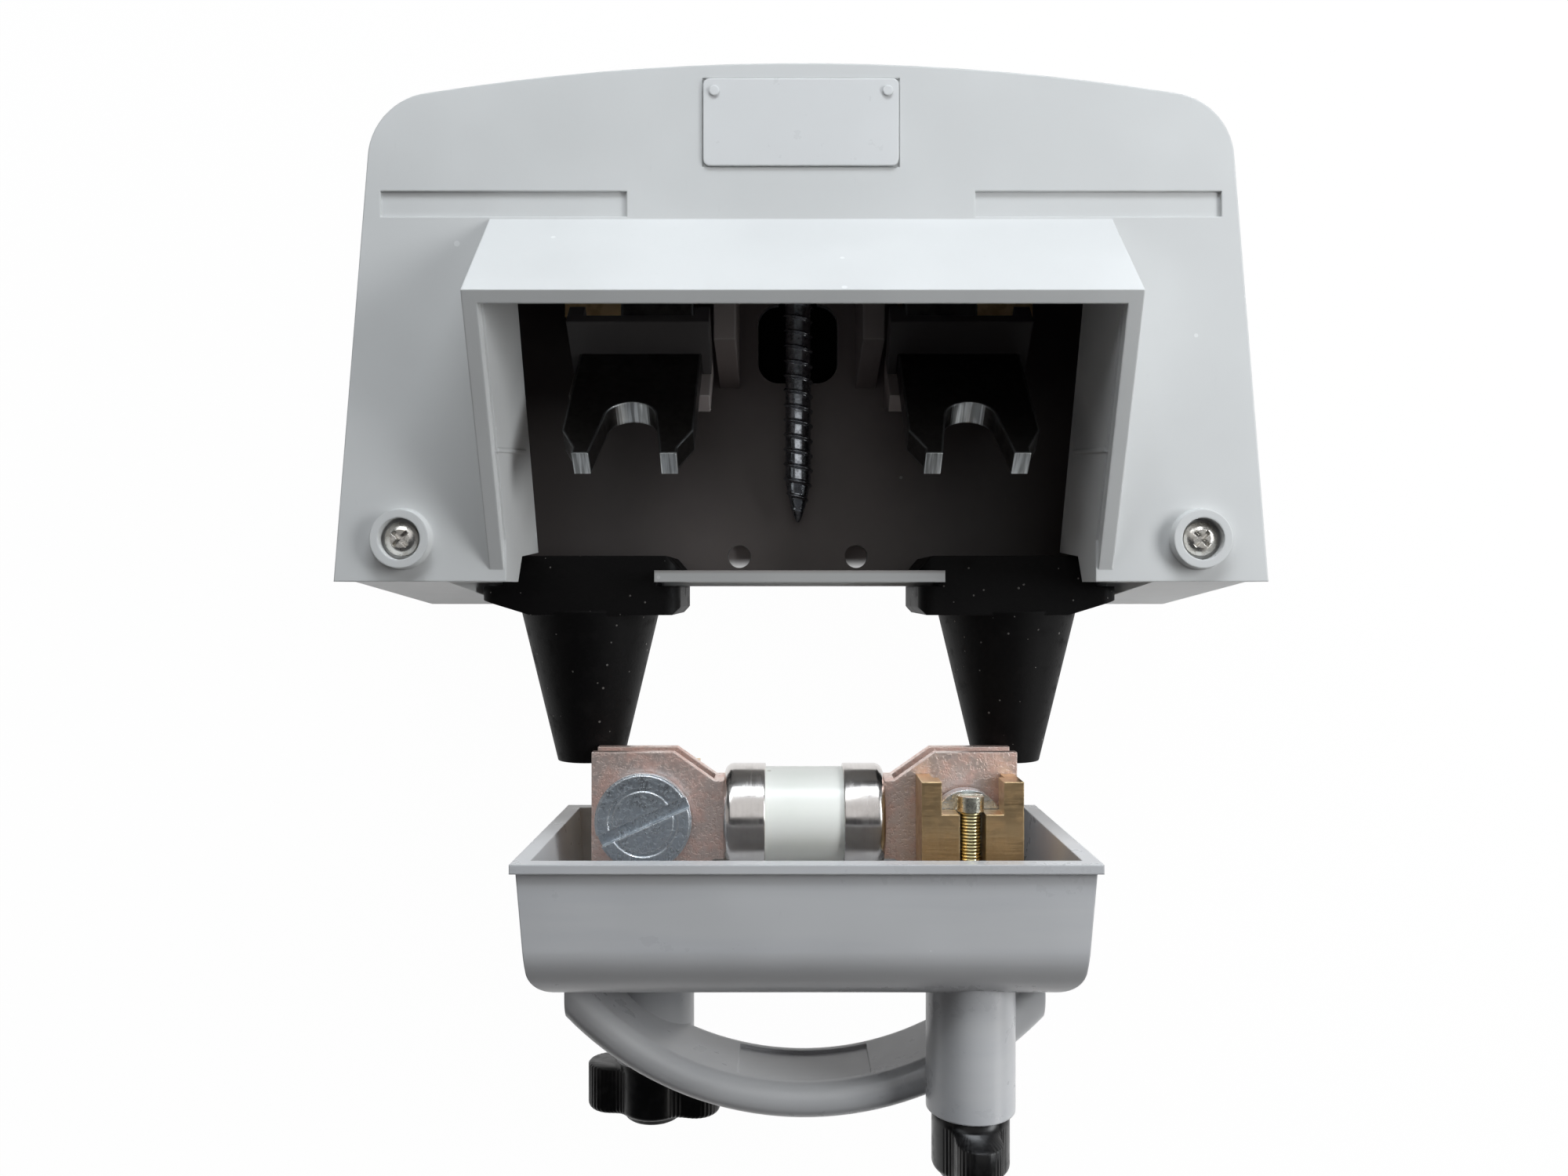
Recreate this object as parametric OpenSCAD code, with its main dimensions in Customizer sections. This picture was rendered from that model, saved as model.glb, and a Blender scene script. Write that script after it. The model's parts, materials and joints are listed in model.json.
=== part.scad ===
// Pole-mounted low-voltage fuse cut-out: a base with a hooded cover, and its withdrawn fuse carrier.
// X runs to the right, Y up the pole and Z out of the mounting back. Both pieces lie on the plane Z = 0.
// The origin is the place of the fixing screw in the keyhole of the back. Sizes are in millimetres.

/* [Base housing] */
// Width of the cover at its bottom edge
cover_w = 220; // [206:1:250]
// Width of the cover just under its rounded top corners
cover_top_w = 204; // [190:1:215]
// Height of the cover at its middle
cover_h = 122; // [118:1:145]
// Depth from the mounting back to the cover's face
base_d = 65; // [60:1:78]
// Wall of the mouldings
wall = 3.2; // [2.4:0.1:4]
// Radius of the cover's top corners
corner_r = 16; // [8:1:24]
// Rise of the arched top edge between the corners
crown = 8; // [4:0.5:12]

/* [Hood] */
// Width inside the hood, which the carrier slides into
hood_in_w = 138.8; // [138.4:0.2:146]
// Length of the hood's roof along the plug-in direction
hood_l = 33; // [24:1:36]
// Angle between the plug-in direction and the back's normal, in degrees
plug_tilt = 44; // [40:1:48]

/* [Contacts] */
// Distance between the fuse link's two fixing centres
fuse_centres = 82; // [80:0.5:86]
// Thickness of the fixed fork contacts
fork_t = 6; // [4:0.5:8]
// Width of the fork contacts
fork_w = 31; // [28:0.5:34]
// Width of the fork's slot
fork_slot = 12.5; // [11:0.5:14]
// Diameter of the cable bore in the terminal blocks
conductor_d = 16; // [10:0.5:18]

/* [Carrier] */
// Width of the carrier box over its rim
carrier_w = 137; // [128:0.5:137.5]
// Depth of the carrier box over its rim
carrier_d = 71; // [64:0.5:71]
// Height of the carrier box from rim to floor
carrier_h = 34.5; // [30:0.5:40]
// Outer radius of the handle's bow
handle_r = 84; // [76:1:96]
// Diameter of the two posts
post_d = 22; // [20:0.5:24]
// Length of the posts below the box
post_l = 30; // [26:0.5:40]
// Span of the wing knobs
knob_w = 37; // [30:0.5:38]
// Height of the wing knobs
knob_h = 16; // [12:0.5:20]

// Draws the carrier plugged in instead of lying beside the base
carrier_seated = false; // [true, false]

/* [Fuse link] */
// Diameter of the end caps
cap_d = 27; // [22:0.5:30]
// Length of each end cap
cap_l = 10.6; // [8:0.2:14]
// Length over the two end caps
fuse_l = 41.2; // [36:0.2:46]
// Thickness of each tag plate
tag_t = 3; // [2:0.5:4]
// Width of the tag plates
tag_w = 34.6; // [28:0.2:36]

/* [Cable glands] */
// Distance between the two gland axes
gland_pitch = 114.6; // [110:0.2:120]
// Diameter of the gland cone at its flange
gland_d = 37.6; // [30:0.2:39]
// Diameter of the gland cone at its tip
gland_tip_d = 18; // [17:0.5:24]
// Length of the gland cone
gland_l = 40; // [30:1:40]
// Bore of the gland at its tip
cable_d = 14; // [10:0.5:14]

/* [Hidden] */
$fn = 64;
gap = 0.3;                                   // between pieces that move past each other
fit = 0.05;                                  // between a shaft and its bore
eps = 0.01;

// Base outline
keyhole_drop = 90.5;                         // bottom edge of the cover below the keyhole seat
y_bot = -keyhole_drop;
y_top = y_bot + cover_h;
cover_t = wall;
z_face = base_d;
z_under = z_face - cover_t;                  // back of the cover's face
side_in = (cover_w - cover_top_w) / 2;
crown_r = (pow(cover_top_w / 2 - corner_r / 2, 2) + crown * crown) / (2 * crown);
skirt_t = 2.4;
skirt_l = 26;

// Plug-in frame: S is the clamp bolt's seat in the fork
seat_y = y_bot + 36.5;
seat_z = z_face - 6.5;
plug_out = [-sin(plug_tilt), cos(plug_tilt)];  // (Y, Z), the way the carrier leaves
plug_up = [cos(plug_tilt), sin(plug_tilt)];    // (Y, Z), from the forks to the roof
roof_t = 2.7;
lip_t = 1;                                   // guide lip under the roof and inside the walls
side_t = 3.9;
hood_out_w = hood_in_w + 2 * side_t;
roof_rise = carrier_d / 2 + 0.4 + lip_t;     // from the seat up to the roof's underside
hood_root = [seat_y + (roof_rise + roof_t - (z_face - seat_z) * plug_up[1]) / plug_up[0], z_face];
hood_front = hood_root + hood_l * plug_out;
hood_foot = [y_bot + 2.8, z_face];
rim_dir = (hood_foot - hood_front) / norm(hood_foot - hood_front);
rim_in = [-rim_dir[1], rim_dir[0]];            // square to the rim, into the hood

// Carrier frame: origin on the clamp bolts' axis, midway between the tag plates
tag_gap = fork_t + 2 * 0.4;
tag_in = tag_gap / 2;
tag_out = tag_in + tag_t;
bolt_x = fuse_centres / 2;
bolt_r = 5;
rim_u = -4.3;
floor_u = rim_u - carrier_h;
rim_lip = 1;
rim_h = 2.2;
box_t = 3;
box_r = 9;
box_draft = 2;
post_w = 15.5;                               // post axis from the carrier's middle plane
post_end_u = floor_u - post_l;
tag_x_end = bolt_x + 13.5;
tag_neck_x = fuse_l / 2 + 2.5;
tag_neck = 20;
tag_cut_x = bolt_x - 7.5;
rest_x = 1.2;
rest_y = y_bot - 60.9;
handle_t = 8.5;
handle_wide = 28;
handle_half = 60;
handle_u = post_end_u - 5.2 + handle_r;        // centre of the handle's bow

// Clamp: bolt, nut, wedge block and spindle
head_r = 12.3;
head_t = 3.2;
nut_r = 8.7;
block_half = 12.5;
block_w0 = tag_out + 0.3;
block_w1 = block_w0 + 12.6;
block_top = 11.9;
block_low = -15.5;
ear_h = 8;
ear_w = 4.9;
wedge_travel = 3.2;
spindle_r = 2.5;
spindle_head_r = 3.3;
spindle_top = 8;
nut_w0 = tag_out + 1.4;
nut_w1 = nut_w0 + 4.2;

// Glands and the bottom wall
bottom_t = 4;
y_wall = y_bot - 1;                          // outer face of the bottom wall
y_floor = y_wall + bottom_t;                 // its inner face
gland_z = 19;
gland_x = gland_pitch / 2;
flange_w = 52;
flange_z1 = 36.4;
flange_out_t = 7.6;
flange_in_t = 3.9;
slot_w = 40.4;
shoulder_x = 85;
guide_z = 30.5;                              // deep end of the hood's guide walls
bar_z = 43.2;                                // front edge of the bottom wall between the glands
groove = 5;

// Keyhole, barriers and terminals
key_r = 5.6;
key_slot_l = 10;
window_w = 23;
window_h = 23;
window_r = 6;
barrier_x = 16.8;
barrier_t = 5.7;
barrier_z = 34;
barrier_y0 = -34;
fix_pitch = 34;
fix_r = 3.25;
fix_y = y_floor + 4.6;
block_x0 = 29;
term_w = 34;
term_l = 34;
term_h = 23;
term_y0 = -19;
term_z0 = wall + 1;
cable_x = block_x0 + term_w - conductor_d / 2 - 4;
cable_z = term_z0 + term_h / 2 - 1;
palm_z0 = term_z0 + term_h;
palm_x0 = 28;
palm_w = 19;
palm_y1 = 12;
contact_bolt_r = 4;
fork_back = 29;                              // from the bolt seat to the end of the full width
fork_stop = tag_w / 2 + 2;                   // from the bolt seat to the rest
rest_l = 17;
rest_w = fork_w + 5;
arm_l = 13;
slot_in = 1.2;                               // slot's end behind the bolt seat
arm_end = 3.7;
boss_x = cover_w / 2 - 16.2;
boss_y = y_bot + 10;
boss_r = 6.9;
boss_h = 2.6;
screw_r = 2.4;
screw_head_r = 4;
plate_w = 46;
plate_h = 20.5;
plate_y = y_top - 14;
plate_t = 0.9;
strip_w = 58;
strip_h = 6;
strip_x = 41;
strip_y = y_bot + 85.9;
screw_len = 96;
screw_d = 8.6;
screw_root_d = 6.2;
screw_tip_y = y_bot + 17;
screw_af = 14;

grey = [0.78, 0.79, 0.79];
black = [0.05, 0.05, 0.05];
steel = [0.72, 0.73, 0.74];
tin = [0.70, 0.66, 0.62];
brass = [0.72, 0.56, 0.30];
ceramic = [0.90, 0.90, 0.86];

// Tangent point, on a circle at c of radius r, of the line from p that leaves the circle on its left (side 1)
// or on its right (side -1)
function tangent(p, c, r, side) = let (d = c - p, l = norm(d), a = atan2(d[1], d[0]) - side * asin(r / l))
    p + sqrt(l * l - r * r) * [cos(a), sin(a)];

// ---------- shapes ----------

module both_sides() { children(); mirror([1, 0, 0]) children(); }

// Right or left end of the carrier: the left one is the right one turned half round
module end_of_carrier(left) { rotate([0, left ? 180 : 0, 0]) children(); }

module in_plug_frame() { translate([0, seat_y, seat_z]) rotate([plug_tilt - 90, 0, 0]) children(); }

// Carrier's place: lying beside the base, or plugged in
module at_rest() {
    if (carrier_seated) in_plug_frame() children();
    else translate([rest_x, rest_y, carrier_d / 2]) children();
}

// Cover outline, drawn in by inset: flared sides, round top corners and an arched top
module outline(inset) {
    r = corner_r - inset;
    big = crown_r - inset;
    big_y = y_top - crown_r;
    cx = cover_top_w / 2 - corner_r;
    cy = big_y + sqrt(pow(crown_r - corner_r, 2) - cx * cx);
    p = [cover_w / 2 - inset, y_bot];
    side = tangent(p, [cx, cy], r, 1);
    n = [cx, cy - big_y] / norm([cx, cy - big_y]);
    top = [0, big_y] + big * n;
    polygon([[-p[0], p[1]], p, side, [cx, cy], top, [-top[0], top[1]], [-cx, cy], [-side[0], side[1]]]);
    for (s = [-1, 1]) translate([s * cx, cy]) circle(r + 0.02);
    intersection() {
        translate([0, big_y]) circle(big, $fn = 128);
        translate([-top[0], top[1] - 2]) square([2 * top[0], crown + 7]);
    }
}

// Rectangle with round corners, from its low corner
module round_rect(w, h, r) {
    translate([r, 0]) square([w - 2 * r, h]);
    translate([0, r]) square([w, h - 2 * r]);
    for (x = [r, w - r], y = [r, h - r]) translate([x, y]) circle(r);
}

// Extrudes an outline drawn as (Y, Z) along X, from x0 over w
module along_x(x0, w) { translate([x0, 0, 0]) rotate([90, 0, 90]) linear_extrude(w) children(); }

// Extrudes an outline drawn as (X, Z) along Y, from y0 over l
module along_y(y0, l) { translate([0, y0 + l, 0]) rotate([90, 0, 0]) linear_extrude(l) children(); }

// ---------- base ----------

// Gland slots of the bottom wall, open to the front
module gland_slots(depth) {
    both_sides() translate([gland_x - slot_w / 2, y_wall - depth, gland_z - slot_w / 2 + 7])
        cube([slot_w, bottom_t + 2 * depth, 60]);
    both_sides() translate([gland_x, y_wall - depth, gland_z + 7]) rotate([-90, 0, 0])
        intersection() {
            cylinder(r = slot_w / 2, h = bottom_t + 2 * depth);
            translate([-slot_w / 2, 0, 0]) cube([slot_w, 20, 20]);
        }
}

module keyhole() {
    translate([0, 0, -1]) cylinder(r = key_r, h = wall + 2);
    translate([-key_r, -key_slot_l, -1]) cube([2 * key_r, key_slot_l, wall + 2]);
    translate([-window_w / 2, -key_slot_l - window_h + 0.5, -1]) linear_extrude(wall + 2)
        round_rect(window_w, window_h, window_r);
}

// Sloping rest under each fork's root, on two webs from the back
module fork_rest() {
    low = -fork_t / 2 - 0.02;
    seat = [seat_y, seat_z] + (low - 2.5) * plug_up;
    in_plug_frame() translate([bolt_x - rest_w / 2, fork_stop, low - 5]) cube([rest_w, rest_l, 5]);
    for (x = [bolt_x - rest_w / 2 + 2, bolt_x - 3]) along_x(x, 4)
        polygon([seat - (fork_stop + 1) * plug_out, seat - (fork_stop + rest_l - 1) * plug_out,
            [seat_y + 30, wall + 0.02], [seat_y + 14, wall + 0.02]]);
}

module back_box() {
    color(grey) difference() {
        union() {
            difference() {
                linear_extrude(z_under - 0.1) outline(skirt_t + gap);
                translate([0, 0, wall]) intersection() {
                    linear_extrude(z_under) outline(skirt_t + gap + wall);
                    translate([-cover_w, y_floor, 0]) cube([2 * cover_w, 2 * cover_h, z_under]);
                }
                // the carrier's way in
                translate([-hood_out_w / 2 - 0.4, y_wall - 1, bar_z]) cube([hood_out_w + 0.8, 30, 60]);
            }
            translate([-cover_w / 2 + skirt_t + gap, y_wall, 0]) cube([cover_w - 2 * (skirt_t + gap), bottom_t, 20]);
            both_sides() translate([boss_x, boss_y, wall - 1]) cylinder(r = 5.5, h = z_under - wall - 2);
            // shoulders beside the glands, deeper towards the back
            both_sides() along_x(shoulder_x, cover_w / 2 - skirt_t - gap - shoulder_x)
                polygon([[y_floor - 1, 0], [y_floor - 1, z_under - 3], [y_bot, z_under - 3], [y_bot - 6.2, 0]]);
            both_sides() translate([block_x0, term_y0 + 3, wall - 1]) cube([term_w, term_l - 6, 2]);
        }
        gland_slots(1);
        keyhole();
        both_sides() translate([fix_pitch / 2, fix_y, -1]) cylinder(r = fix_r, h = wall + 2);
        both_sides() translate([boss_x, boss_y, z_under - 19]) cylinder(r = 3.6, h = 30);
        both_sides() translate([block_x0 + term_w / 2 + 4, 0, -1]) cylinder(r = 2.6, h = wall + 4);
        both_sides() translate([block_x0 + term_w / 2 + 4, 0, -1]) cylinder(r = 4.6, h = 3.2);
    }
}

// Barriers that keep the fixing screw's bay apart from the live parts, and the fork rests
module inner_walls() {
    color(grey) both_sides() {
        along_x(barrier_x, barrier_t) polygon([[barrier_y0, wall + 0.02], [21, wall + 0.02],
            [21, barrier_z], [barrier_y0 + 7.5, barrier_z]]);
        fork_rest();
    }
}

// Side wall of the hood, drawn as (Y, Z) and drawn in from the sloping rim by a step
module hood_side_outline(step) {
    polygon([hood_front + step * rim_in, hood_foot + step * rim_in, [y_bot + 2.8, z_face - step],
        [y_bot, z_face - step], [y_bot, z_face - 12], [y_floor + 3.4, z_face - 16],
        [y_floor + flange_in_t + 1, guide_z], [hood_root[0] + 5, z_face - 3], hood_root]);
}

// Roof's section as (Y, Z): a slab, and a lip under it that is drawn in from the rim
module roof_outline() {
    deep = hood_root - 16 * plug_out;
    slab = roof_t / abs(rim_dir * plug_up);
    low = lip_t / abs(rim_dir * plug_up);
    polygon([hood_front, hood_front + slab * rim_dir, deep - roof_t * plug_up, deep]);
    start = hood_front + slab * rim_dir - 3 * plug_out;
    polygon([start + 0.1 * plug_up, start + low * rim_dir, deep - (roof_t + lip_t) * plug_up, deep - (roof_t - 0.1) * plug_up]);
}

module hood() {
    both_sides() {
        along_x(hood_in_w / 2 + 0.6, side_t - 0.6) hood_side_outline(0);
        along_x(hood_in_w / 2, 1) hood_side_outline(2.6);
        along_x(hood_in_w / 2 - 0.3, 1) polygon([[y_bot + 29.5, z_face + 8], [y_bot + 30.5, z_face + 8],
            [y_bot + 33.4, z_face - 20], [y_bot + 32.4, z_face - 20]]);
    }
    along_x(-hood_out_w / 2, hood_out_w) roof_outline();
}

module front_cover() {
    color(grey) difference() {
        union() {
            difference() {
                translate([0, 0, z_face - skirt_l]) linear_extrude(skirt_l) outline(0);
                translate([0, 0, z_face - skirt_l - 1]) linear_extrude(skirt_l - cover_t + 1) {
                    outline(skirt_t);
                    translate([-cover_w / 2 + skirt_t, y_bot - 1]) square([cover_w - 2 * skirt_t, 2]);
                }
                // opening behind the hood
                along_x(-hood_in_w / 2, hood_in_w) polygon([[y_bot - 1, z_under - 1], [y_bot - 1, z_face + 1],
                    hood_root + [-2, 1], hood_root + [2, -cover_t - 1]]);
            }
            hood();
            both_sides() translate([boss_x, boss_y, z_face - 1]) cylinder(r1 = boss_r + 0.4, r2 = boss_r, h = boss_h + 1);
        }
        both_sides() translate([boss_x, boss_y, z_under - 1]) cylinder(r = screw_r + 0.4, h = 20);
        both_sides() translate([boss_x, boss_y, z_face - 0.6]) cylinder(r = screw_head_r + 0.9, h = 20);
        both_sides() translate([strip_x, strip_y, z_face - 0.7]) cube([strip_w, strip_h, 2]);
        translate([-plate_w / 2 - 0.2, plate_y - plate_h / 2 - 0.2, z_face - 0.4])
            cube([plate_w + 0.4, plate_h + 0.4, 2]);
        both_sides() translate([plate_w / 2 - 2.6, plate_y + plate_h / 2 - 3, z_under - 1]) cylinder(r = 0.9, h = 9);
    }
}

module rating_plate() {
    color([0.83, 0.83, 0.83]) difference() {
        translate([-plate_w / 2, plate_y - plate_h / 2, z_face - 0.35]) linear_extrude(plate_t)
            round_rect(plate_w, plate_h, 1.6);
        both_sides() translate([plate_w / 2 - 2.6, plate_y + plate_h / 2 - 3, z_face - 2]) cylinder(r = 0.9, h = 9);
    }
}

module plate_pins() {
    color(grey) both_sides() translate([plate_w / 2 - 2.6, plate_y + plate_h / 2 - 3, 0]) {
        translate([0, 0, z_face - 0.35 + plate_t]) cylinder(r = 1.2, h = 0.4);
        translate([0, 0, z_under + 0.4]) cylinder(r = 0.87, h = cover_t);
    }
}

module cover_screws() {
    color(steel) both_sides() translate([boss_x, boss_y, 0]) difference() {
        union() {
            translate([0, 0, z_under - 12]) cylinder(r = screw_r, h = 16);
            translate([0, 0, z_face - 0.6]) intersection() {
                cylinder(r = screw_head_r, h = 2.4);
                translate([0, 0, -3.2]) sphere(r = 6);
            }
        }
        for (a = [0, 90]) translate([0, 0, z_face + 1.4]) rotate([0, 0, a + 45]) cube([4.6, 1, 2], center = true);
    }
}

module screw_inserts() {
    color(brass) both_sides() translate([boss_x, boss_y, z_under - 13]) difference() {
        cylinder(r = 3.55, h = 10);
        translate([0, 0, -1]) cylinder(r = screw_r + 0.02, h = 12);
    }
}

// Rubber cable gland: two flanges with a groove for the bottom wall between them, and a hollow cone
module gland() {
    neck_w = slot_w - 0.3;
    color(black) translate([gland_x, 0, 0]) difference() {
        union() {
            intersection() {
                along_y(y_floor + 0.02, flange_in_t) translate([-flange_w / 2, wall + 0.05])
                    round_rect(flange_w, flange_z1 - wall - 0.05, 4);
                linear_extrude(flange_z1) polygon([[-flange_w / 2, y_floor], [flange_w / 2, y_floor],
                    [flange_w / 2 - 3.6, y_floor + flange_in_t + 0.1], [-flange_w / 2 + 3.6, y_floor + flange_in_t + 0.1]]);
            }
            intersection() {
                along_y(y_wall - flange_out_t - 0.02, flange_out_t) translate([-flange_w / 2, 0])
                    round_rect(flange_w, flange_z1, 4);
                linear_extrude(flange_z1) polygon([[-flange_w / 2, y_wall], [flange_w / 2, y_wall],
                    [flange_w / 2, y_wall - 3.6], [flange_w / 2 - 13, y_wall - flange_out_t],
                    [-flange_w / 2 + 2, y_wall - flange_out_t], [-flange_w / 2, y_wall - flange_out_t + 2]]);
            }
            along_y(y_wall - 0.2, bottom_t + 0.4) translate([-neck_w / 2, 0]) {
                translate([0, gland_z + 7]) square([neck_w, flange_z1 - gland_z - 7]);
                intersection() {
                    translate([neck_w / 2, gland_z + 7]) circle(r = neck_w / 2);
                    translate([0, gland_z + 7 - neck_w / 2]) square([neck_w, neck_w / 2 + 1]);
                }
            }
            translate([0, y_wall - flange_out_t + 1, gland_z]) rotate([90, 0, 0])
                cylinder(r1 = gland_d / 2, r2 = gland_tip_d / 2, h = gland_l + 1);
        }
        translate([0, y_floor + flange_in_t + 1, gland_z]) rotate([90, 0, 0])
            cylinder(r = gland_d / 2 - 2.6, h = flange_in_t + bottom_t + flange_out_t + 1.5);
        translate([0, y_wall - flange_out_t + 0.2, gland_z]) rotate([90, 0, 0])
            cylinder(r1 = gland_d / 2 - 2.6, r2 = cable_d / 2, h = gland_l - 10);
        translate([0, y_wall, gland_z]) rotate([90, 0, 0]) cylinder(r = cable_d / 2, h = flange_out_t + gland_l + 2);
    }
}

module gland_left() { mirror([1, 0, 0]) gland(); }
module gland_right() { gland(); }

// Fixed contact, right-hand one: a flat fork in the plug-in plane and a palm on the terminal block
module fork_contact() {
    mid_t = (seat_z - palm_z0 - fork_t / 2) / cos(plug_tilt);
    bend = [seat_y + mid_t * sin(plug_tilt), palm_z0 + fork_t / 2];
    root = [seat_y, seat_z] - fork_back * plug_out;
    color(steel) {
        in_plug_frame() translate([bolt_x, 0, -fork_t / 2]) difference() {
            translate([-fork_w / 2, -arm_l, 0]) cube([fork_w, arm_l + fork_back + 1, fork_t]);
            translate([0, slot_in, -1]) cylinder(r = fork_slot / 2, h = fork_t + 2);
            linear_extrude(3 * fork_t, center = true) polygon([[-fork_slot / 2, slot_in], [fork_slot / 2, slot_in],
                [fork_slot / 2 + 2.2, -arm_l - 1], [-fork_slot / 2 - 2.2, -arm_l - 1]]);
            for (s = [-1, 1]) linear_extrude(3 * fork_t, center = true) polygon([
                [s * (fork_w / 2 + 1), -arm_l + 10], [s * (fork_w / 2 + 1), -arm_l - 1],
                [s * (fork_slot / 2 + 2.2 + arm_end), -arm_l - 1], [s * (fork_slot / 2 + 2.2 + arm_end), -arm_l + 2.2],
                [s * fork_w / 2, -arm_l + 9]]);
        }
        difference() {
            along_x(palm_x0, palm_w) polygon([
                root + fork_t / 2 * plug_up, root - fork_t / 2 * plug_up,
                bend - fork_t / 2 * [tan((90 - plug_tilt) / 2), 1], [palm_y1, palm_z0], [palm_y1, palm_z0 + fork_t],
                bend + fork_t / 2 * [tan((90 - plug_tilt) / 2), 1]]);
            translate([palm_x0 + palm_w / 2, palm_y1 - 8, 0]) cylinder(r = contact_bolt_r + 0.3, h = 60);
        }
    }
}

module fork_contact_right() { fork_contact(); }
module fork_contact_left() { mirror([1, 0, 0]) fork_contact(); }

// Moulded shroud that straddles each fork's root, stands on its rest and hides the terminal
module contact_shrouds() {
    color([0.42, 0.43, 0.43]) both_sides() in_plug_frame()
        translate([bolt_x - rest_w / 2, fork_back, -fork_t / 2]) difference() {
            cube([rest_w, rest_l + fork_stop - fork_back, fork_t + 9.5]);
            translate([(rest_w - fork_w) / 2 - 0.1, -1, -1]) cube([fork_w + 0.2, 20, fork_t + 1.05]);
            translate([4, 3, fork_t + 4]) cube([rest_w - 8, 20, 7]);
        }
}

// Brass tunnel terminal, right-hand one
module terminal_block() {
    color(brass) difference() {
        translate([block_x0, term_y0, term_z0]) cube([term_w, term_l, term_h]);
        translate([cable_x, term_y0 - 1, cable_z]) rotate([-90, 0, 0]) cylinder(r = conductor_d / 2, h = term_l + 2);
        for (y = [8, term_l - 8]) translate([cable_x, term_y0 + y, cable_z]) cylinder(r = 4 + fit, h = 30);
        translate([palm_x0 + palm_w / 2, palm_y1 - 8, term_z0 + 8]) cylinder(r = contact_bolt_r + fit, h = 30);
        translate([block_x0 + term_w / 2 + 4, 0, term_z0 - 1]) cylinder(r = 2.05, h = 3.6);
    }
}

module terminal_block_right() { terminal_block(); }
module terminal_block_left() { mirror([1, 0, 0]) terminal_block(); }

module contact_bolts() {
    color(steel) both_sides() translate([palm_x0 + palm_w / 2, palm_y1 - 8, 0]) {
        translate([0, 0, term_z0 + 9]) cylinder(r = contact_bolt_r, h = palm_z0 + fork_t - term_z0 - 9 + 1);
        translate([0, 0, palm_z0 + fork_t + 0.02]) cylinder(r = 6.6, h = 1.4);
        translate([0, 0, palm_z0 + fork_t + 1.4]) cylinder(r = 6.3, h = 5, $fn = 6);
    }
}

// Two grub screws in each terminal, backed off to leave the cable bore open
module grub_screws() {
    color(steel) both_sides() for (y = [8, term_l - 8]) translate([cable_x, term_y0 + y, cable_z + conductor_d / 2]) difference() {
        cylinder(r = 4, h = term_z0 + term_h - cable_z - conductor_d / 2 + 3);
        translate([0, 0, term_z0 + term_h - cable_z - conductor_d / 2]) cylinder(r = 2.3, h = 8, $fn = 6);
    }
}

// Countersunk screws through the back that hold the terminals
module block_screws() {
    color(steel) both_sides() translate([block_x0 + term_w / 2 + 4, 0, 0]) {
        translate([0, 0, 0.6]) cylinder(r = 4.2, h = 1.6);
        translate([0, 0, 1]) cylinder(r = 2, h = term_z0 + 1.4);
    }
}

// Coach screw, stored loose in the housing: hexagon head, shank, thread rings and gimlet point
module coach_screw() {
    r = screw_d / 2;
    root = screw_root_d / 2;
    thread_l = screw_len * 0.72;
    pitch = 4.2;
    turns = floor((thread_l - 12) / pitch);
    head = screw_len - 6;
    color([0.09, 0.09, 0.10]) translate([0, screw_tip_y, wall + screw_af / 2 + 0.05]) rotate([-90, 0, 0]) {
        rotate_extrude() polygon(concat([[0, 0], [0.3, 0], [root * 0.35, 5], [root * 0.9, 10]],
            [for (i = [0 : turns - 1], p = [[root, 0.2], [r, 0.42], [r, 0.58], [root, 0.8]])
                [p[0] - (i < 2 ? (2 - i) * 0.35 : 0), 12 + (i + p[1]) * pitch]],
            [[r, thread_l + 1], [r, head], [0, head]]));
        translate([0, 0, head]) cylinder(r = screw_af / 2 / cos(30), h = 6, $fn = 6);
    }
}

// ---------- carrier ----------

// Side or end profile of the box, as (width, u): drafted walls and round lower corners, drawn in by inset
module box_profile(w, r, draft, inset) {
    lo = floor_u + inset;
    ri = r - inset;
    top = [w / 2 - rim_lip - inset, rim_u + 1];
    c = [w / 2 - rim_lip - inset - draft - ri, lo + ri];
    t = tangent(top, c, ri, -1);
    polygon([top, t, c, [c[0], lo], [-c[0], lo], [-c[0], c[1]], [-t[0], t[1]], [-top[0], top[1]]]);
    for (s = [-1, 1]) translate([s * c[0], c[1]]) circle(ri + 0.02);
}

module box_solid(inset) {
    intersection() {
        translate([0, 0, -carrier_d]) linear_extrude(2 * carrier_d) box_profile(carrier_w, box_r, box_draft, inset);
        rotate([0, 90, 0]) translate([0, 0, -carrier_w]) linear_extrude(2 * carrier_w)
            box_profile(carrier_d, box_r + 6, box_draft / 2, inset);
    }
}

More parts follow.
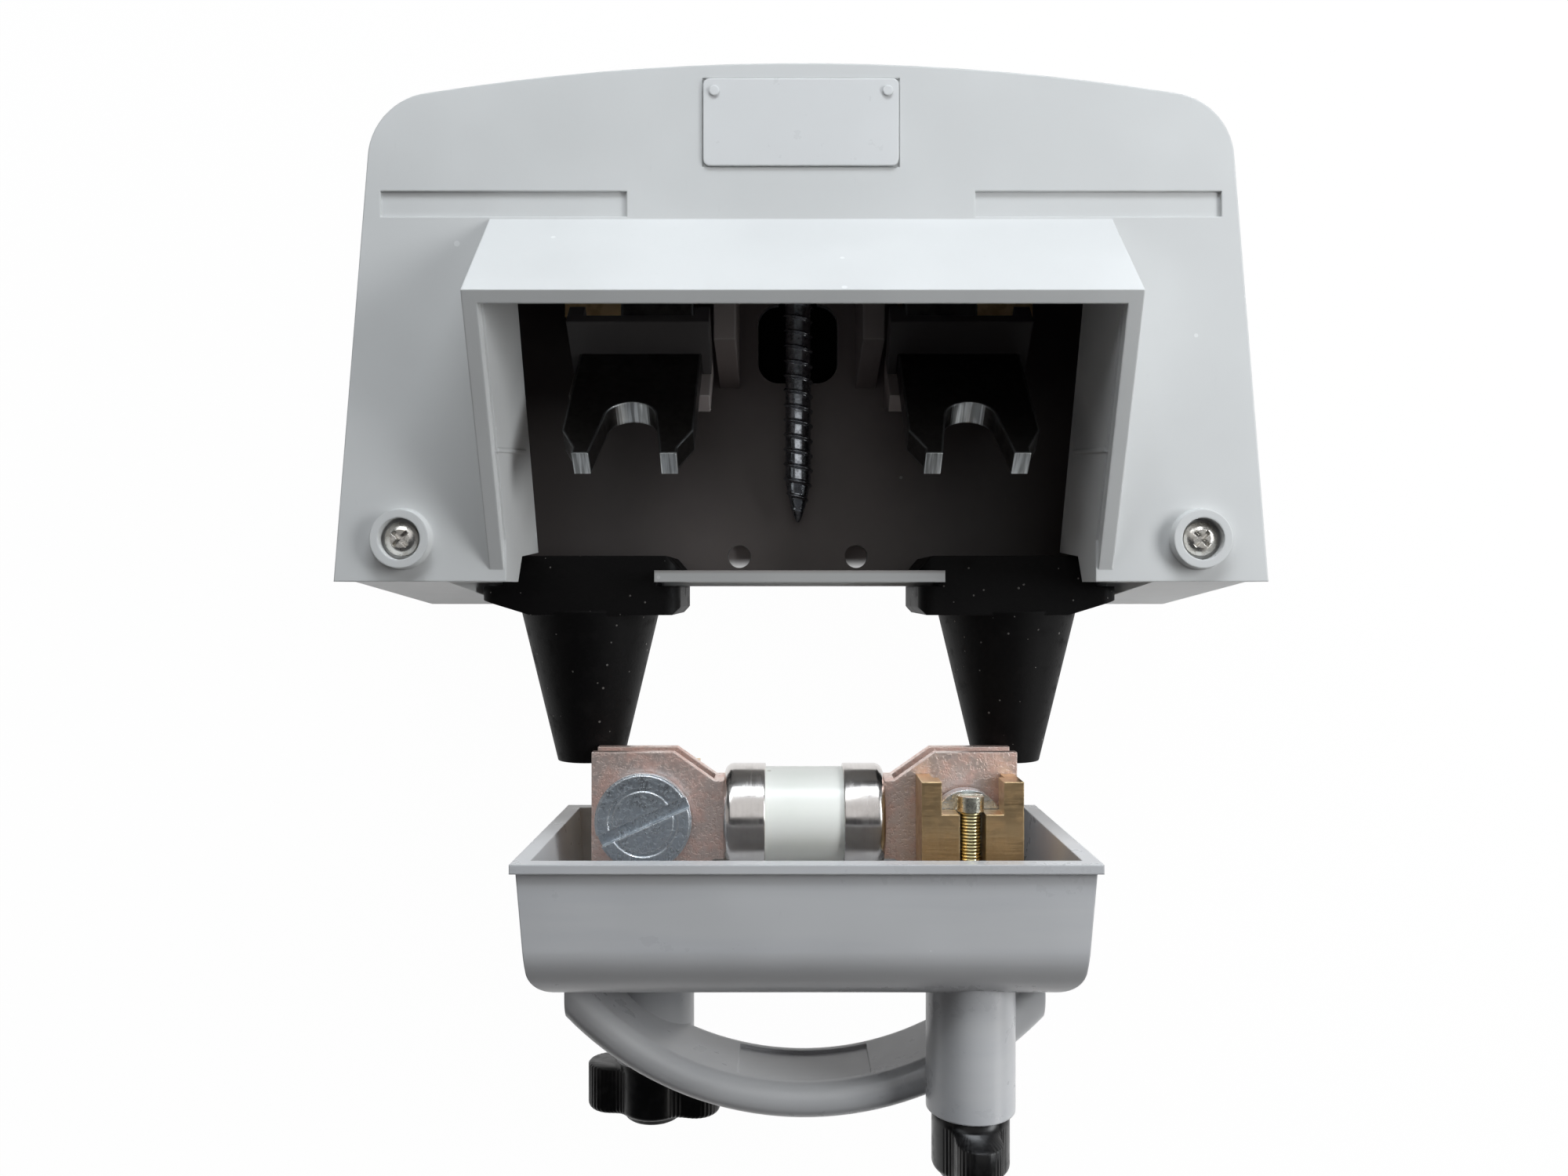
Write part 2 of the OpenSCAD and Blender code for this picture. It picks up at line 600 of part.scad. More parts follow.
module carrier_body() {
    color(grey) at_rest() difference() {
        union() {
            intersection() {
                box_solid(0);
                translate([-carrier_w, floor_u - 1, -carrier_d]) cube([2 * carrier_w, rim_u - floor_u + 1, 2 * carrier_d]);
            }
            translate([-carrier_w / 2, rim_u - rim_h, -carrier_d / 2]) cube([carrier_w, rim_h, carrier_d]);
            for (left = [false, true]) end_of_carrier(left) translate([bolt_x, floor_u + box_t, post_w])
                rotate([90, 0, 0]) cylinder(r = post_d / 2, h = post_l + box_t);
            difference() {
                intersection() {
                    translate([0, handle_u, 0]) rotate_extrude($fn = 128)
                        translate([handle_r - handle_t, -handle_wide / 2]) round_rect(handle_t, handle_wide, 4);
                    translate([-handle_half, handle_u - handle_r - 1, -carrier_d])
                        cube([2 * handle_half, floor_u + 2 - handle_u + handle_r, 2 * carrier_d]);
                }
                intersection() {
                    translate([0, handle_u, 0]) cylinder(r = handle_r - handle_t + 0.8, h = 18, center = true);
                    translate([-17, handle_u - handle_r, -9]) cube([34, 20, 18]);
                }
            }
        }
        difference() {
            box_solid(box_t);
            for (left = [false, true]) end_of_carrier(left)
                translate([bolt_x - 9, floor_u, -tag_out]) cube([18, -tag_w / 2 - 0.1 - floor_u, 2 * tag_out]);
        }
        for (left = [false, true]) end_of_carrier(left) translate([bolt_x, 0, post_w]) rotate([90, 0, 0]) {
            cylinder(r = spindle_r + fit, h = 200);
            translate([0, 0, -post_end_u - 6]) cylinder(r = 5 + fit, h = 20);
        }
    }
}

// Ceramic tube of the fuse link
module fuse_barrel() {
    color(ceramic) at_rest() rotate([0, 90, 0]) difference() {
        cylinder(r = cap_d / 2 - 0.9, h = fuse_l - 2.4, center = true);
        cylinder(r = cap_d / 2 - 4.4, h = fuse_l, center = true);
    }
}

module fuse_cap(left) {
    color(steel) at_rest() end_of_carrier(left) rotate([0, 90, 0]) translate([0, 0, fuse_l / 2 - cap_l]) difference() {
        cylinder(r = cap_d / 2, h = cap_l);
        translate([0, 0, -1]) cylinder(r = cap_d / 2 - 0.88, h = cap_l);
    }
}

module fuse_cap_right() { fuse_cap(false); }
module fuse_cap_left() { fuse_cap(true); }

// Notched silver strip inside the tube, joined to both caps
module fuse_element() {
    color([0.85, 0.85, 0.87]) at_rest() difference() {
        cube([fuse_l - 2.1, 8, 0.4], center = true);
        for (i = [-3 : 3], s = [-1, 1]) translate([i * 5, s * 3.6, 0]) cylinder(r = 1.8, h = 2, center = true, $fn = 24);
    }
}

// Pair of tag plates at one end, with the bridge that joins them to the cap
module fuse_tag(left) {
    h = tag_w / 2;
    n = tag_neck / 2;
    color(tin) at_rest() end_of_carrier(left) difference() {
        union() {
            for (w = [tag_in, -tag_out]) translate([0, 0, w]) linear_extrude(tag_t)
                polygon([[tag_neck_x, -n], [tag_cut_x, -h], [tag_x_end, -h], [tag_x_end, h], [tag_cut_x, h], [tag_neck_x, n]]);
            translate([fuse_l / 2 + 0.01, -n, -tag_out]) cube([tag_neck_x - fuse_l / 2 + 0.2, 2 * n, 2 * tag_out]);
        }
        translate([bolt_x, 0, -20]) cylinder(r = bolt_r + 0.3, h = 40);
    }
}

module fuse_tag_right() { fuse_tag(false); }
module fuse_tag_left() { fuse_tag(true); }

// Slotted clamp bolt: its head bears on the far plate of the right-hand end
module clamp_bolt(left) {
    color(steel) at_rest() end_of_carrier(left) translate([bolt_x, 0, 0]) difference() {
        union() {
            translate([0, 0, -tag_out - head_t - 0.02]) cylinder(r = head_r - 0.5, h = head_t);
            translate([0, 0, -tag_out - head_t + 0.5]) cylinder(r = head_r, h = head_t - 0.9);
            translate([0, 0, -tag_out - 1]) cylinder(r = bolt_r, h = tag_out + nut_w1 + 1.2);
        }
        rotate([0, 0, -24]) translate([-20, -1.5, -tag_out - head_t - 1]) cube([40, 3, 3]);
        // turned ring in the face of the head
        translate([0, 0, -tag_out - head_t - 1]) difference() {
            cylinder(r = head_r * 0.72, h = 1.35);
            translate([0, 0, -1]) cylinder(r = head_r * 0.63, h = 4);
        }
    }
}

module clamp_bolt_right() { clamp_bolt(false); }
module clamp_bolt_left() { clamp_bolt(true); }

module clamp_nut(left) {
    color(brass) at_rest() end_of_carrier(left) translate([bolt_x, 0, nut_w0]) difference() {
        cylinder(r = nut_r, h = nut_w1 - nut_w0);
        translate([0, 0, -1]) cylinder(r = bolt_r + 0.02, h = 20);
    }
}

module clamp_nut_right() { clamp_nut(false); }
module clamp_nut_left() { clamp_nut(true); }

// Brass wedge block: two ears beside the nut, a channel for the spindle and a threaded foot
module wedge_block(left) {
    cavity = nut_r + 0.4;
    color(brass) at_rest() end_of_carrier(left) translate([bolt_x, 0, 0]) difference() {
        translate([-block_half, block_low, block_w0]) cube([2 * block_half, block_top - block_low, block_w1 - block_w0]);
        translate([-block_half + ear_w, block_top - ear_h, 0]) cube([2 * (block_half - ear_w), ear_h + 1, 40]);
        translate([-cavity, 0, 0]) cube([2 * cavity, 40, nut_w1 + 0.5]);
        cylinder(r = cavity, h = nut_w1 + 0.5);
        translate([-spindle_r - 0.7, block_low + 4, nut_w1]) cube([2 * spindle_r + 1.4, 60, 20]);
        translate([0, block_low - 1, post_w]) rotate([-90, 0, 0]) cylinder(r = spindle_r + fit, h = 20);
        translate([-block_half - 1, block_low, 0]) rotate([-2.4, 0, 0]) translate([0, -1, 0])
            cube([2 * block_half + 2, 12, block_w0 + 0.9]);
    }
}

module wedge_block_right() { wedge_block(false); }
module wedge_block_left() { wedge_block(true); }

// Tightening spindle: cheese head above the wedge block, long shank and a collar in the knob
module spindle(left) {
    color(brass) at_rest() end_of_carrier(left) translate([bolt_x, 0, post_w]) rotate([90, 0, 0]) difference() {
        union() {
            translate([0, 0, -spindle_top]) cylinder(r = spindle_head_r, h = 3.8);
            translate([0, 0, -spindle_top + 3]) cylinder(r = spindle_r, h = spindle_top - post_end_u - 3 + knob_h - 4);
            translate([0, 0, -post_end_u - 5]) cylinder(r = 5, h = 4.4);
        }
        translate([-5, -0.6, -spindle_top - 1]) cube([10, 1.2, 2]);
    }
}

module spindle_right() { spindle(false); }
module spindle_left() { spindle(true); }

// Wing knob: round hub, two waisted wings with gripping ribs
module knob(left, turn) {
    ribs = 9;
    hub = 9.6;
    tip = 5.6;
    drop = 2.2;                              // wings below the hub's end, clear of the handle
    color(black) at_rest() end_of_carrier(left) translate([bolt_x, post_end_u - 0.4, post_w]) rotate([90, 0, 0])
        rotate([0, 0, turn]) difference() {
            union() {
                cylinder(r = hub, h = knob_h - 1.6);
                cylinder(r = hub - 1.6, h = knob_h);
                for (s = [-1, 1]) {
                    translate([s * (knob_w / 2 - tip), 0, drop]) cylinder(r = tip, h = knob_h - drop - 1.4);
                    translate([s * (knob_w / 2 - tip) - (s > 0 ? knob_w / 2 - tip : 0), -4.3, drop + 0.3])
                        cube([knob_w / 2 - tip, 8.6, knob_h - drop - 2]);
                    for (i = [0 : ribs - 1]) translate([s * (knob_w / 2 - tip), 0, drop + 0.7])
                        rotate([0, 0, (i - (ribs - 1) / 2) * 21 + (s < 0 ? 180 : 0)])
                        translate([tip - 0.15, -0.45, 0]) cube([0.6, 0.9, knob_h - drop - 3]);
                }
            }
            translate([0, 0, -1]) cylinder(r = spindle_r + 0.02, h = knob_h - 4 + 1.2);
        }
}

module knob_right() { knob(false, 90); }
module knob_left() { knob(true, 8); }

back_box();
inner_walls();
front_cover();
rating_plate();
plate_pins();
cover_screws();
screw_inserts();
gland_left();
gland_right();
fork_contact_left();
fork_contact_right();
contact_shrouds();
terminal_block_left();
terminal_block_right();
contact_bolts();
grub_screws();
block_screws();
coach_screw();
carrier_body();
fuse_barrel();
fuse_cap_left();
fuse_cap_right();
fuse_tag_left();
fuse_tag_right();
fuse_element();
clamp_bolt_left();
clamp_bolt_right();
clamp_nut_left();
clamp_nut_right();
wedge_block_left();
wedge_block_right();
spindle_left();
spindle_right();
knob_left();
knob_right();
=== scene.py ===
import json
import math

import bpy
import numpy as np
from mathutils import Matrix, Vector


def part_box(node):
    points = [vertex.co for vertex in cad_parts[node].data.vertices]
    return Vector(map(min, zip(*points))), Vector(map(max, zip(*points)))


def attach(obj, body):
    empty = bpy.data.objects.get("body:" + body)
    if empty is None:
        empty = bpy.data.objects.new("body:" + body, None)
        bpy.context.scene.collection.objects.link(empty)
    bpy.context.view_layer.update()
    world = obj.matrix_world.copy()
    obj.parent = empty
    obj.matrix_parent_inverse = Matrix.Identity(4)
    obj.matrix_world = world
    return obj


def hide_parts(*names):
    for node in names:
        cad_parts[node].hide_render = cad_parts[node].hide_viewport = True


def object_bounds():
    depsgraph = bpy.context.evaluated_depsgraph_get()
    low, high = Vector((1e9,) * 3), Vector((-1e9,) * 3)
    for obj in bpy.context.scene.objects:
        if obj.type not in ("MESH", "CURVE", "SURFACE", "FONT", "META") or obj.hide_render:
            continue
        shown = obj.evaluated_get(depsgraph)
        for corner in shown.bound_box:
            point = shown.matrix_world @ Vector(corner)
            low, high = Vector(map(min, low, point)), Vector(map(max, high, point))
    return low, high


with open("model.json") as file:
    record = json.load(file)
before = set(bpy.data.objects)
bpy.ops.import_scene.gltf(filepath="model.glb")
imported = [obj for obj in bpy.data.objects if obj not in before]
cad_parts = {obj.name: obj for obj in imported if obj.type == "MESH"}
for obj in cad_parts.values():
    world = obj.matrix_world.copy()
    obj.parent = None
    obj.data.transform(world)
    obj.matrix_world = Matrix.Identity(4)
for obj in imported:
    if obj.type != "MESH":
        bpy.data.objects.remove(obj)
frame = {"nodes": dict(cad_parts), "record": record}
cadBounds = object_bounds()
nodes = frame["nodes"]
print("frame loaded:", len(nodes), "nodes")

fullTurn = 2 * math.pi
bevelSamples = 4
poleRadius = 0.0001     # a turned end closes with one face of this radius, in metres


class Wire:
    # one output of a node; the usual signs on it add Math nodes to the same tree
    def __init__(self, paint, socket):
        self.paint, self.socket = paint, socket

    def calc(self, operation, *others):
        return self.paint.add("ShaderNodeMath", {"operation": operation},
                              dict(enumerate((self,) + others)))

    def back(self, operation, other):
        return self.paint.add("ShaderNodeMath", {"operation": operation}, {0: other, 1: self})

    def __add__(self, other): return self.calc("ADD", other)
    def __radd__(self, other): return self.back("ADD", other)
    def __sub__(self, other): return self.calc("SUBTRACT", other)
    def __rsub__(self, other): return self.back("SUBTRACT", other)
    def __mul__(self, other): return self.calc("MULTIPLY", other)
    def __rmul__(self, other): return self.back("MULTIPLY", other)
    def __truediv__(self, other): return self.calc("DIVIDE", other)
    def __rtruediv__(self, other): return self.back("DIVIDE", other)
    def __lt__(self, other): return self.calc("LESS_THAN", other)
    def __abs__(self): return self.calc("ABSOLUTE")


class Paint:
    # the nodes of a material or a world; add() makes any node: its type, settings, then sockets
    def __init__(self, owner):
        owner.use_nodes = True
        self.owner, self.tree = owner, owner.node_tree
        self.tree.nodes.clear()

    def add(self, kind, settings=None, sockets=None, out=0):
        node = self.tree.nodes.new(kind)
        for key, value in (settings or {}).items():
            setattr(node, key, value)
        for key, value in (sockets or {}).items():
            socket = node.inputs[key]
            if isinstance(value, Wire):
                self.tree.links.new(value.socket, socket)
            else:
                socket.default_value = (*value, 1) if socket.type == "RGBA" else value
        if len(node.outputs):
            return Wire(self, node.outputs[out])

    def place(self, stretch=(1, 1, 1)):
        spot = self.add("ShaderNodeTexCoord", out="Object")
        return self.add("ShaderNodeMapping", None, {"Vector": spot, "Scale": stretch})

    def axis(self, which, vector=None):
        # one coordinate of a vector, or of the place in metres
        return self.add("ShaderNodeSeparateXYZ", None, {0: vector or self.place()}, out=which)

    def cloud(self, size, detail=3.0, roughness=0.5, stretch=(1, 1, 1)):
        # soft noise about 0.5, with blotches of the given size in metres
        return self.add("ShaderNodeTexNoise", None,
                        {"Vector": self.place(stretch), "Scale": 1 / size, "Detail": detail,
                         "Roughness": roughness})

    def specks(self, size, share, smallest=0.16, spread=0.1):
        # 1 in round dots, one in a cell of the given size, for the given share of the cells;
        # a dot's radius is smallest to smallest + spread, as parts of a cell
        cells = {"Vector": self.place(), "Scale": 1 / size}
        far = self.add("ShaderNodeTexVoronoi", None, cells, out="Distance")
        tone = self.add("ShaderNodeTexVoronoi", None, cells, out="Color")
        red = self.add("ShaderNodeSeparateColor", None, {"Color": tone}, out="Red")
        return (red < share) * (far < smallest + spread * red / share)

    def ramp(self, factor, low, high, start=0.0, end=1.0):
        # a smooth step from start to end while the factor goes from low to high; on a cloud, low
        # and high are the noise values between which a blotch rises
        return self.add("ShaderNodeMapRange", {"interpolation_type": "SMOOTHSTEP"},
                        {"Value": factor, "From Min": low, "From Max": high,
                         "To Min": start, "To Max": end})

    def blend(self, factor, one, two):
        # sockets 6 and 7 are the Mix node's two colours, and its output 2 is the mixed colour
        return self.add("ShaderNodeMix", {"data_type": "RGBA"}, {0: factor, 6: one, 7: two}, out=2)

    def dot(self, one, two):
        return self.add("ShaderNodeVectorMath", {"operation": "DOT_PRODUCT"}, {0: one, 1: two},
                        out="Value")

    def trueNormal(self):
        return self.add("ShaderNodeNewGeometry", out="True Normal")

    def rounded(self, radius):
        # the normal that sharp edges would have if they were rounded
        return self.add("ShaderNodeBevel", {"samples": bevelSamples}, {"Radius": radius})

    def facing(self, direction):
        # the cosine between the true normal and a direction, without its sign
        return abs(self.dot(self.trueNormal(), direction))

    def edges(self, radius):
        # 1 along sharp edges: how far a rounded normal leans away from the plain one, as a cosine
        plain = self.add("ShaderNodeNewGeometry", out="Normal")
        return self.ramp(self.dot(self.rounded(radius), plain), 0.995, 0.86)

    def surface(self, bumps, depth, strength, soft=None, **sockets):
        # the closing shader; bumps is a height of 0 to 1, depth its metres, soft the edges' radius
        relief = {"Height": bumps, "Distance": depth, "Strength": strength}
        if soft:
            relief["Normal"] = self.rounded(soft)
        inputs = {key.replace("_", " "): value for key, value in sockets.items()}
        inputs["Normal"] = self.add("ShaderNodeBump", None, relief)
        shader = self.add("ShaderNodeBsdfPrincipled", None, inputs)
        self.add("ShaderNodeOutputMaterial", None, {"Surface": shader})
        return self.owner


def toned(colour, factor, lift=0.0):
    # the colour times a factor, plus a little grey
    return tuple(min(1, c * factor + lift) for c in colour)


# sizes in metres, and how strongly each marking shows; the bands are painted sheen and the lighter
# edges a painted highlight
plasticMarks = {
    "mottleSize": 0.045, "mottleDark": 0.965, "mottleLight": 1.03,
    "hazeSize": 0.004, "hazeRough": 0.16,
    "scratchSize": 0.0016, "scratchStretch": (1, 0.16, 1), "scratchShare": 0.10,
    "scratchTone": 0.6, "scratchRough": 0.08,
    "sheenBandSize": 0.009, "sheenBandStretch": (0.10, 1, 1), "sheenBandTint": (0.72, 0.74, 0.80),
    "sheenBandGloss": 0.3,
    "scuffSize": 0.0030, "scuffCells": 0.006, "scuffShare": 0.5, "scuffTone": 1.35,
    "highlightEdgeWidth": 0.0006, "highlightEdgeShare": 0.30, "highlightEdgeTone": 1.25, "edgeRadius": 0.0005,
    "poreSize": 0.00035, "poreHeight": 0.5, "waveSize": 0.012, "waveHeight": 1.4,
    "relief": 0.00002, "reliefStrength": 0.55, "ior": 1.49,
}
# each pair is where that part of the limit of the inside's painted shade starts and where it is
# full
insideShadeLimits = {
    "lowerWallY": (-0.0886, -0.0872), "backZ": (0.0024, 0.0030),
    "outerSideX": (0.084, 0.088), "outerTopY": (0.004, 0.008), "outerTopLean": (0.05, 0.3),
    "sideShadeX": (0.018, 0.060), "wanderSize": 0.02, "wander": 0.008, "sideShadeTone": 0.36,
    "mottleLight": 1.12,
}


def insideShadeMask(p):
    # 1 above the lower wall and in front of the back, but not on the outer faces: where the painted
    # shade inside goes
    limits, flat = insideShadeLimits, p.trueNormal()
    outerSide = p.ramp(p.axis("X", flat) * p.axis("X"), *limits["outerSideX"])
    outerTop = (p.ramp(p.axis("Y"), *limits["outerTopY"])
                * p.ramp(p.axis("Y", flat), *limits["outerTopLean"]))
    return (p.ramp(p.axis("Y"), *limits["lowerWallY"]) * p.ramp(p.axis("Z"), *limits["backZ"])
            * (1 - outerSide.calc("MAXIMUM", outerTop)))


def mouldedPlastic(name, tone, rough=0.42, inside=None, bands=0.0):
    # inside is the darker tone behind the lower wall: painted shade for the little light that
    # reaches in there;
    # bands is the share of long painted sheen bands along X
    p, size = Paint(bpy.data.materials.new(name)), plasticMarks
    mottle = p.ramp(p.cloud(size["mottleSize"], 2.0), 0.35, 0.65)
    haze = p.cloud(size["hazeSize"], 4.0, 0.6)
    scratches = p.ramp(p.cloud(size["scratchSize"], 5.0, 0.7, size["scratchStretch"]), 0.66, 0.74)
    roughness = rough + (haze - 0.5) * size["hazeRough"] + scratches * size["scratchRough"]
    colour = p.blend(mottle, toned(tone, size["mottleDark"]), toned(tone, size["mottleLight"]))
    if inside:
        # painted shade inside, darker still away from the middle towards the side walls
        wander = p.cloud(insideShadeLimits["wanderSize"], 3.0) * insideShadeLimits["wander"]
        sideShade = p.ramp(abs(p.axis("X")) + wander, *insideShadeLimits["sideShadeX"])    # away from the middle
        insideShade = p.blend(mottle, inside, toned(inside, insideShadeLimits["mottleLight"]))
        insideShade = p.blend(sideShade, insideShade, toned(inside, insideShadeLimits["sideShadeTone"]))
        colour = p.blend(insideShadeMask(p), colour, insideShade)
    if bands:
        # painted sheen: long bands along X where the colour turns darker and bluer, as in a
        # reflection, and the surface is glossier
        sheenBand = p.ramp(p.cloud(size["sheenBandSize"], 3.0, 0.6, size["sheenBandStretch"]), 0.38, 0.66)
        tint = tuple(c * share for c, share in zip(tone, size["sheenBandTint"]))
        colour = p.blend(sheenBand * bands, colour, tint)
        roughness = roughness - sheenBand * bands * size["sheenBandGloss"]
    scuffs = p.specks(size["scuffSize"], size["scuffCells"])
    # painted highlight: the colour lightens along sharp edges
    edge = p.edges(size["highlightEdgeWidth"])
    colour = p.blend(scratches * size["scratchShare"], colour, toned(tone, size["scratchTone"]))
    colour = p.blend(scuffs * size["scuffShare"], colour, toned(tone, size["scuffTone"]))
    colour = p.blend(edge * size["highlightEdgeShare"], colour, toned(tone, size["highlightEdgeTone"]))
    height = (p.cloud(size["poreSize"], 2.0) * size["poreHeight"]
              + p.cloud(size["waveSize"], 2.0) * size["waveHeight"])
    return p.surface(height, size["relief"], size["reliefStrength"], size["edgeRadius"],
                     Base_Color=colour, Roughness=roughness, IOR=size["ior"])


glandRubber = {
    "tone": (0.0016, 0.0013, 0.0015), "dusty": (0.007, 0.006, 0.006), "dustSize": 0.006,
    "dustShare": 0.5, "fleck": (0.20, 0.19, 0.18), "fleckSize": 0.0013, "fleckCells": 0.05,
    "fleckShare": 0.8, "rubberEdgeHighlight": (0.022, 0.020, 0.020), "rubberHighlightWidth": 0.0007, "rubberHighlightShare": 0.35,
    "edgeRadius": 0.0006,
    "grainSize": 0.0005, "rippleSize": 0.004, "rippleStretch": (1, 0.12, 1), "rippleHeight": 1.2,
    "relief": 0.00006, "reliefStrength": 0.8, "rough": 0.55, "dustRough": 0.22, "ior": 1.26,
}


def rubber(name):
    p, size = Paint(bpy.data.materials.new(name)), glandRubber
    dust = p.ramp(p.cloud(size["dustSize"], 4.0, 0.65), 0.52, 0.75)
    flecks = p.specks(size["fleckSize"], size["fleckCells"])
    colour = p.blend(dust * size["dustShare"], size["tone"], size["dusty"])
    colour = p.blend(flecks * size["fleckShare"], colour, size["fleck"])
    # painted highlight: the colour lightens along sharp edges
    colour = p.blend(p.edges(size["rubberHighlightWidth"]) * size["rubberHighlightShare"], colour, size["rubberEdgeHighlight"])
    ripple = p.cloud(size["rippleSize"], 2.0, stretch=size["rippleStretch"])
    height = p.cloud(size["grainSize"], 3.0) + ripple * size["rippleHeight"]
    return p.surface(height, size["relief"], size["reliefStrength"], size["edgeRadius"],
                     Base_Color=colour, Roughness=size["rough"] + dust * size["dustRough"],
                     IOR=size["ior"])


metalMarks = {
    "patchRough": 0.10, "lineShare": 0.5, "lineRough": 0.2, "lineDark": 0.75,
    "pitShare": 0.34, "pitDark": 0.45, "pitRough": 0.12,
    "edgeHighlightWidth": 1.8,     # times the radius of the edges
    "shearSize": 0.0009, "shearStretch": (1, 0.06, 0.06), "shearDark": 0.45,
    "shearLean": (0.72, 0.92), "reliefStrength": 0.7,
}


def metal(name, tone, rough, patch=None, patchSize=0.006, brushed=(1, 1, 1), fine=0.0004,
          depth=0.00001, soft=0.0003, edgeHighlightTone=None, edgeHighlightShare=0.5, cutFace=None, pitSize=None,
          thread=None):
    # tone is the clean colour and patch the duller one it clouds over to; fine is the size of the
    # scratches and brushed their stretch; cutFace gives the direction and the colour of a bare
    # sheared face, pitSize the size of fine dark pits, and thread a cut thread along Y
    p, size = Paint(bpy.data.materials.new(name)), metalMarks
    patch = patch or toned(tone, 0.8)
    cloud = p.ramp(p.cloud(patchSize, 4.0, 0.6), 0.40, 0.66)
    line = p.cloud(fine, 3.0, 0.6, brushed)
    colour = p.blend(cloud, tone, patch)
    colour = p.blend(line * size["lineShare"], colour, toned(tone, size["lineDark"]))
    roughness = rough + cloud * size["patchRough"] + (line - 0.5) * size["lineRough"]
    if pitSize:
        pits = p.ramp(p.cloud(pitSize, 2.0, 0.7), 0.50, 0.62)
        colour = p.blend(pits * size["pitShare"], colour, toned(patch, size["pitDark"]))
        roughness = roughness + pits * size["pitRough"]
        line = line - pits
    # painted highlight: a lighter tone along sharp edges
    if edgeHighlightTone:
        colour = p.blend(p.edges(soft * size["edgeHighlightWidth"]) * edgeHighlightShare, colour, edgeHighlightTone)
    if cutFace:
        direction, bare = cutFace
        shear = p.ramp(p.cloud(size["shearSize"], 2.0, 0.6, size["shearStretch"]), 0.35, 0.62)
        lined = p.blend(shear, toned(bare, size["shearDark"]), bare)
        colour = p.blend(p.ramp(p.facing(direction), *size["shearLean"]), colour, lined)
    if thread:
        cut = p.ramp(p.axis("Y"), thread["start"], thread["start"] - thread["runOut"])
        wave = (p.axis("Y") * (fullTurn / thread["pitch"])).calc("SINE")
        line = line * thread["lineHeight"] + wave * thread["waveHeight"] * cut
        # painted shade: the thread's grooves are darkened
        grooved = p.blend(p.ramp(wave, *thread["groove"]), toned(tone, thread["grooveShade"]), colour)
        colour = p.blend(cut, thread["head"], grooved)
    return p.surface(line, depth, size["reliefStrength"], soft, Base_Color=colour, Metallic=1.0,
                     Roughness=roughness)


fuseGlaze = {
    "tone": (0.93, 0.95, 0.88), "light": (0.98, 0.985, 0.93), "shadeSize": 0.012,
    "speck": (0.42, 0.38, 0.30), "speckSize": 0.004, "speckCells": 0.06, "speckShare": 0.4,
    "waveSize": 0.005, "relief": 0.00004, "reliefStrength": 0.5,
    "rough": 0.30, "shadeRough": 0.08, "coat": 0.55, "coatRough": 0.34,
}


def glazedCeramic(name):
    p, size = Paint(bpy.data.materials.new(name)), fuseGlaze
    shade = p.ramp(p.cloud(size["shadeSize"], 3.0), 0.3, 0.7)
    specks = p.specks(size["speckSize"], size["speckCells"])
    colour = p.blend(shade, size["tone"], size["light"])
    colour = p.blend(specks * size["speckShare"], colour, size["speck"])
    return p.surface(p.cloud(size["waveSize"], 2.0), size["relief"], size["reliefStrength"],
                     Base_Color=colour, Roughness=size["rough"] + shade * size["shadeRough"],
                     Coat_Weight=size["coat"], Coat_Roughness=size["coatRough"])


knobGloss = {
    "tone": (0.0035, 0.0033, 0.0035), "hazeSize": 0.003, "hazeShare": 0.6,
    "highlightEdgeWidth": 0.0004, "highlightEdgeShare": 0.25, "edgeRadius": 0.0005,
    "grainSize": 0.0006, "relief": 0.00001, "reliefStrength": 0.6,
    "rough": 0.28, "hazeRough": 0.16, "ior": 1.36,
}


def glossPlastic(name):
    p, size = Paint(bpy.data.materials.new(name)), knobGloss
    haze = p.ramp(p.cloud(size["hazeSize"], 4.0, 0.65), 0.45, 0.7)
    # painted highlight: the colour lightens along sharp edges
    edge = p.edges(size["highlightEdgeWidth"]) * size["highlightEdgeShare"]
    colour = p.blend(haze * size["hazeShare"], size["tone"], toned(size["tone"], 1.6, 0.002))
    colour = p.blend(edge, colour, toned(size["tone"], 2, 0.012))
    return p.surface(p.cloud(size["grainSize"], 3.0), size["relief"], size["reliefStrength"],
                     size["edgeRadius"], Base_Color=colour, IOR=size["ior"],
                     Roughness=size["rough"] + haze * size["hazeRough"])


